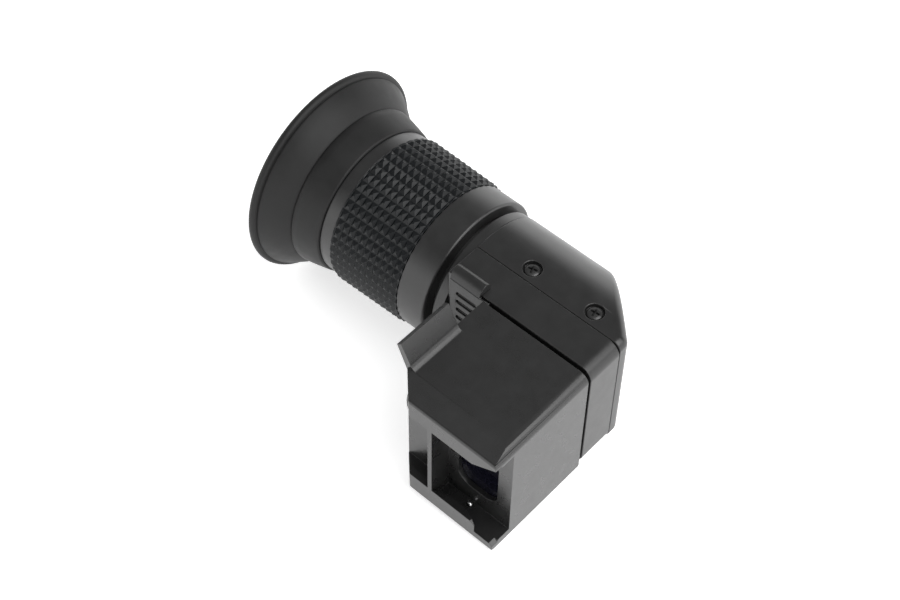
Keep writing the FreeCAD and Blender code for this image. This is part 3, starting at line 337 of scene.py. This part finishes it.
def grip():
    """Rubber sleeve with rows of small pyramids; part pyramids end it on both sides."""
    low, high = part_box("grip_sleeve")
    front, rear = -high.x / MM, -low.x / MM
    tall = (high.z - low.z) / 2 / MM - 0.03
    bore = tall - 1.6
    first = (front + rear - KNURL_ROWS * KNURL_PITCH) / 2 + 0.11
    reach = KNURL_TOP * KNURL_PITCH

    def place(station, column, height):
        peak = tall - 0.4 * (rear - station) / (rear - front)
        return bm.verts.new(on_tube(station, peak - KNURL_DEPTH * (1 - height),
                                    2 * math.pi * column / KNURL_COLUMNS))

    bm = bmesh.new()
    grid = [[place(first + row * KNURL_PITCH, column, 0) for column in range(KNURL_COLUMNS)]
            for row in range(KNURL_ROWS + 1)]
    for row in range(KNURL_ROWS):
        middle = first + (row + 0.5) * KNURL_PITCH
        for column in range(KNURL_COLUMNS):
            after = (column + 1) % KNURL_COLUMNS
            base = [grid[row][column], grid[row + 1][column], grid[row + 1][after], grid[row][after]]
            top = [place(middle + side * reach, column + 0.5 + turn * KNURL_TOP, 1 - KNURL_TOP)
                   for side, turn in ((-1, -1), (1, -1), (1, 1), (-1, 1))]
            for corner in range(4):
                after_corner = (corner + 1) % 4
                bm.faces.new((base[corner], base[after_corner], top[after_corner], top[corner]))
            bm.faces.new(top)
    inner = []
    for ring, end in ((grid[0], front), (grid[-1], rear)):
        rise = 2 * abs(end - (first if end == front else first + KNURL_ROWS * KNURL_PITCH)) / KNURL_PITCH
        edge = [place(end, column, 0) for column in range(KNURL_COLUMNS)]
        crest = [place(end, column + 0.5, rise) for column in range(KNURL_COLUMNS)]
        core = [bm.verts.new(on_tube(end, bore, 2 * math.pi * column / KNURL_COLUMNS))
                for column in range(KNURL_COLUMNS)]
        inner.append(core)
        for column in range(KNURL_COLUMNS):
            after = (column + 1) % KNURL_COLUMNS
            bm.faces.new((ring[column], ring[after], crest[column]))
            bm.faces.new((ring[column], crest[column], edge[column]))
            bm.faces.new((ring[after], edge[after], crest[column]))
            bm.faces.new((edge[column], crest[column], edge[after], core[after], core[column]))
    for column in range(KNURL_COLUMNS):
        after = (column + 1) % KNURL_COLUMNS
        bm.faces.new((inner[0][column], inner[0][after], inner[1][after], inner[1][column]))
    item = piece("grip_knurled", finished_mesh("grip_knurled", bm, 15), "grip_sleeve")
    bevel = item.modifiers.new("bevel", "BEVEL")
    bevel.width = 0.04 * MM
    bevel.segments = 2
    bevel.limit_method = "ANGLE"
    bevel.angle_limit = math.radians(15)
    bevel.harden_normals = True


def screw_mesh(name, places, radius, top_rise, turns):
    """Pan-head screws with a tapered cross recess; places are the heads' undersides with an up sign."""
    profile = [(radius, 0.0), (radius, 0.3)]
    profile += [(radius * math.cos(angle), 0.3 + (top_rise - 0.3) * math.sin(angle))
                for angle in map(math.radians, (18, 36, 52, 66, 78))]
    bm = bmesh.new()
    rings = [[bm.verts.new((r * math.cos(a), r * math.sin(a), z))
              for a in (2 * math.pi * step / SCREW_TURNS for step in range(SCREW_TURNS))] for r, z in profile]
    for lower, upper in zip(rings, rings[1:]):
        for step in range(SCREW_TURNS):
            after = (step + 1) % SCREW_TURNS
            bm.faces.new((lower[step], lower[after], upper[after], upper[step]))
    bm.faces.new(rings[-1])
    bm.faces.new(rings[0][::-1])
    head = bpy.data.objects.new(name + "_head", finished_mesh(name + "_head", bm))

    bm = bmesh.new()
    for turn in (0, math.pi / 2):
        corners = []
        for z, length, width in ((top_rise + 0.1, 0.72 * radius, 0.15 * radius),
                                 (top_rise - 0.5, 0.38 * radius, 0.09 * radius)):
            for x, y in ((-length, -width), (length, -width), (length, width), (-length, width)):
                spun = Matrix.Rotation(turn, 3, "Z") @ Vector((x, y, z))
                corners.append(bm.verts.new(spun))
        for faces in ((3, 2, 1, 0), (4, 5, 6, 7), (0, 1, 5, 4), (1, 2, 6, 5), (2, 3, 7, 6), (3, 0, 4, 7)):
            bm.faces.new([corners[index] for index in faces])
    cross = bpy.data.objects.new(name + "_cross", finished_mesh(name + "_cross", bm))
    for item in (head, cross):
        bpy.context.scene.collection.objects.link(item)
    carve = head.modifiers.new("cross", "BOOLEAN")
    carve.operation = "DIFFERENCE"
    carve.use_self = True
    carve.object = cross
    ready = bpy.data.meshes.new_from_object(head.evaluated_get(bpy.context.evaluated_depsgraph_get()))
    for item in (head, cross):
        bpy.data.objects.remove(item)

    bm = bmesh.new()
    for (place, up), turn in zip(places, turns):
        part = ready.copy()
        flip = Matrix.Rotation(0 if up > 0 else math.pi, 4, "X")
        spin = Matrix.Rotation(math.radians(turn), 4, "Z")
        part.transform(Matrix.Translation(place) @ flip @ spin @ Matrix.Scale(MM, 4))
        bm.from_mesh(part)
    return finished_mesh(name, bm, 40)


def cover_screws():
    """Four screws in their counterbores, two on each side of the prism cover."""
    low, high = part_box("cover_screws")
    radius = 1.52
    near, far = low.x + 1.55 * MM, high.x - 1.55 * MM
    middle = (low.y + high.y) / 2
    places = [(Vector((x, middle, side)), up)
              for x in (near, far) for side, up in ((high.z - 0.75 * MM, 1), (low.z + 0.75 * MM, -1))]
    mesh = screw_mesh("cover_screw_heads", places, radius, 0.74, (18, 40, 8, 65))
    return piece("cover_screw_heads", mesh, "cover_screws")


def knob():
    """Lock knob with a ribbed edge and a shallow dished face."""
    low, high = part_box("lock_knob")
    radius = (high.z - low.z) / 2 / MM
    far = low.x / MM + 0.5
    middle = (low.y + high.y) / 2
    near = far + 2.5
    shaft = 1.6
    profile = [(near, shaft), (near, radius - 0.5), (near - 0.35, radius), (far + 0.65, radius),
               (far + 0.12, radius - 0.45), (far, radius - 0.8), (far, radius - 1.4),
               (far + 0.3, radius - 1.8), (far + 0.3, 0.4)]
    steps = KNOB_TURNS
    bm = bmesh.new()
    rings = []
    for index, (x, r) in enumerate(profile):
        ribbed = index in (2, 3)
        rings.append([bm.verts.new((x * MM, middle + (r - rib(step) * ribbed) * MM * math.cos(angle),
                                    (r - rib(step) * ribbed) * MM * math.sin(angle)))
                      for step, angle in ((s, 2 * math.pi * s / steps) for s in range(steps))])
    stub = [bm.verts.new(((near + 2.5) * MM, middle + shaft * MM * math.cos(2 * math.pi * s / steps),
                          shaft * MM * math.sin(2 * math.pi * s / steps))) for s in range(steps)]
    rings.insert(0, stub)
    for lower, upper in zip(rings, rings[1:]):
        for step in range(steps):
            after = (step + 1) % steps
            bm.faces.new((lower[step], lower[after], upper[after], upper[step]))
    bm.faces.new(rings[-1])
    bm.faces.new(rings[0])
    return piece("lock_knob_ribbed", finished_mesh("lock_knob_ribbed", bm, 30), "lock_knob")


def rib(step):
    """Depth of the groove beside a rib of the knob, in millimetres."""
    return RIB_DEPTH * (1 + math.cos(2 * math.pi * step / RIB_STEPS)) / 2


for name in NODES:
    dress(name)
for name, width in EDGE_ROUNDS.items():
    refined(name, width)
eyecup()
grip()
cover_screws()
knob()


# ---------------------------------------------------------------- camera, table and light

def place_camera():
    """A long lens looking down on the object from its front right."""
    data = bpy.data.cameras.new("camera")
    data.lens = 70.775
    data.sensor_width = 36
    data.clip_start = 0.01
    data.clip_end = 20
    camera = bpy.data.objects.new("camera", data)
    bpy.context.scene.collection.objects.link(camera)
    right = Vector((0.74136, 0.67105, 0.00897)).normalized()
    up = Vector((-0.53479, 0.58264, 0.61199)).normalized()
    back = right.cross(up)
    turn = Matrix((right, up, back)).transposed().to_4x4()
    camera.matrix_world = Matrix.Translation(Vector((103.217, -124.583, 255.670)) * MM) @ turn
    bpy.context.scene.camera = camera


# rise of the table per metre along X: it touches the eyecup's rim and the housing's lower right edge
TABLE_SLOPE = 0.1005
TABLE_REACH = 3.0


def place_table():
    """White table; the object leans on its eyecup's rim and the housing's lower right edge."""
    material, tree, shader = new_material("table_white")
    tree.links.new(ramp(tree, noise(tree, 30, 3.0), [(0.3, grey(0.88)), (0.7, grey(0.92))]),
                   shader.inputs["Base Color"])
    shader.inputs["Roughness"].default_value = 0.7
    shader.inputs["Emission Color"].default_value = (1, 1, 1, 1)
    shader.inputs["Emission Strength"].default_value = 0.6
    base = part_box("prism_cover")
    corners = [(x * TABLE_REACH, y * TABLE_REACH, base[0].z + TABLE_SLOPE * (x * TABLE_REACH - base[1].x))
               for x, y in ((-1, -1), (1, -1), (1, 1), (-1, 1))]
    mesh = bpy.data.meshes.new("table")
    mesh.from_pydata(corners, [], [(0, 1, 2, 3)])
    mesh.materials.append(material)
    table = bpy.data.objects.new("table", mesh)
    bpy.context.scene.collection.objects.link(table)


def area_light(name, place, size, watts, aim=(-0.02, 0.02, 0)):
    """A rectangular light turned towards a point of the object."""
    data = bpy.data.lights.new(name, "AREA")
    data.shape = "RECTANGLE"
    data.size, data.size_y = size
    data.energy = watts
    light = bpy.data.objects.new(name, data)
    light.location = place
    light.rotation_euler = (Vector(aim) - Vector(place)).to_track_quat("-Z", "Y").to_euler()
    bpy.context.scene.collection.objects.link(light)


def light_scene():
    """A room, white near the floor and dim overhead, with one large soft light on the right."""
    world = bpy.data.worlds.new("studio")
    world.use_nodes = True
    tree = world.node_tree
    place = add(tree, "ShaderNodeTexCoord").outputs["Generated"]
    split = add(tree, "ShaderNodeSeparateXYZ")
    tree.links.new(place, split.inputs[0])
    shade = ramp(tree, split.outputs["Z"],
                 [(0.0, grey(0.95)), (0.2, grey(0.95)), (0.4, grey(0.4)), (0.58, grey(0.13)),
                  (0.84, grey(0.17)), (0.94, grey(0.26))])
    background = tree.nodes["Background"]
    tree.links.new(shade, background.inputs["Color"])
    background.inputs["Strength"].default_value = 2.0
    bpy.context.scene.world = world
    area_light("key", (0.5, 0.1, 0.7), (0.8, 0.8), 7)
    bpy.context.scene.view_settings.view_transform = "Standard"


place_camera()
place_table()
light_scene()
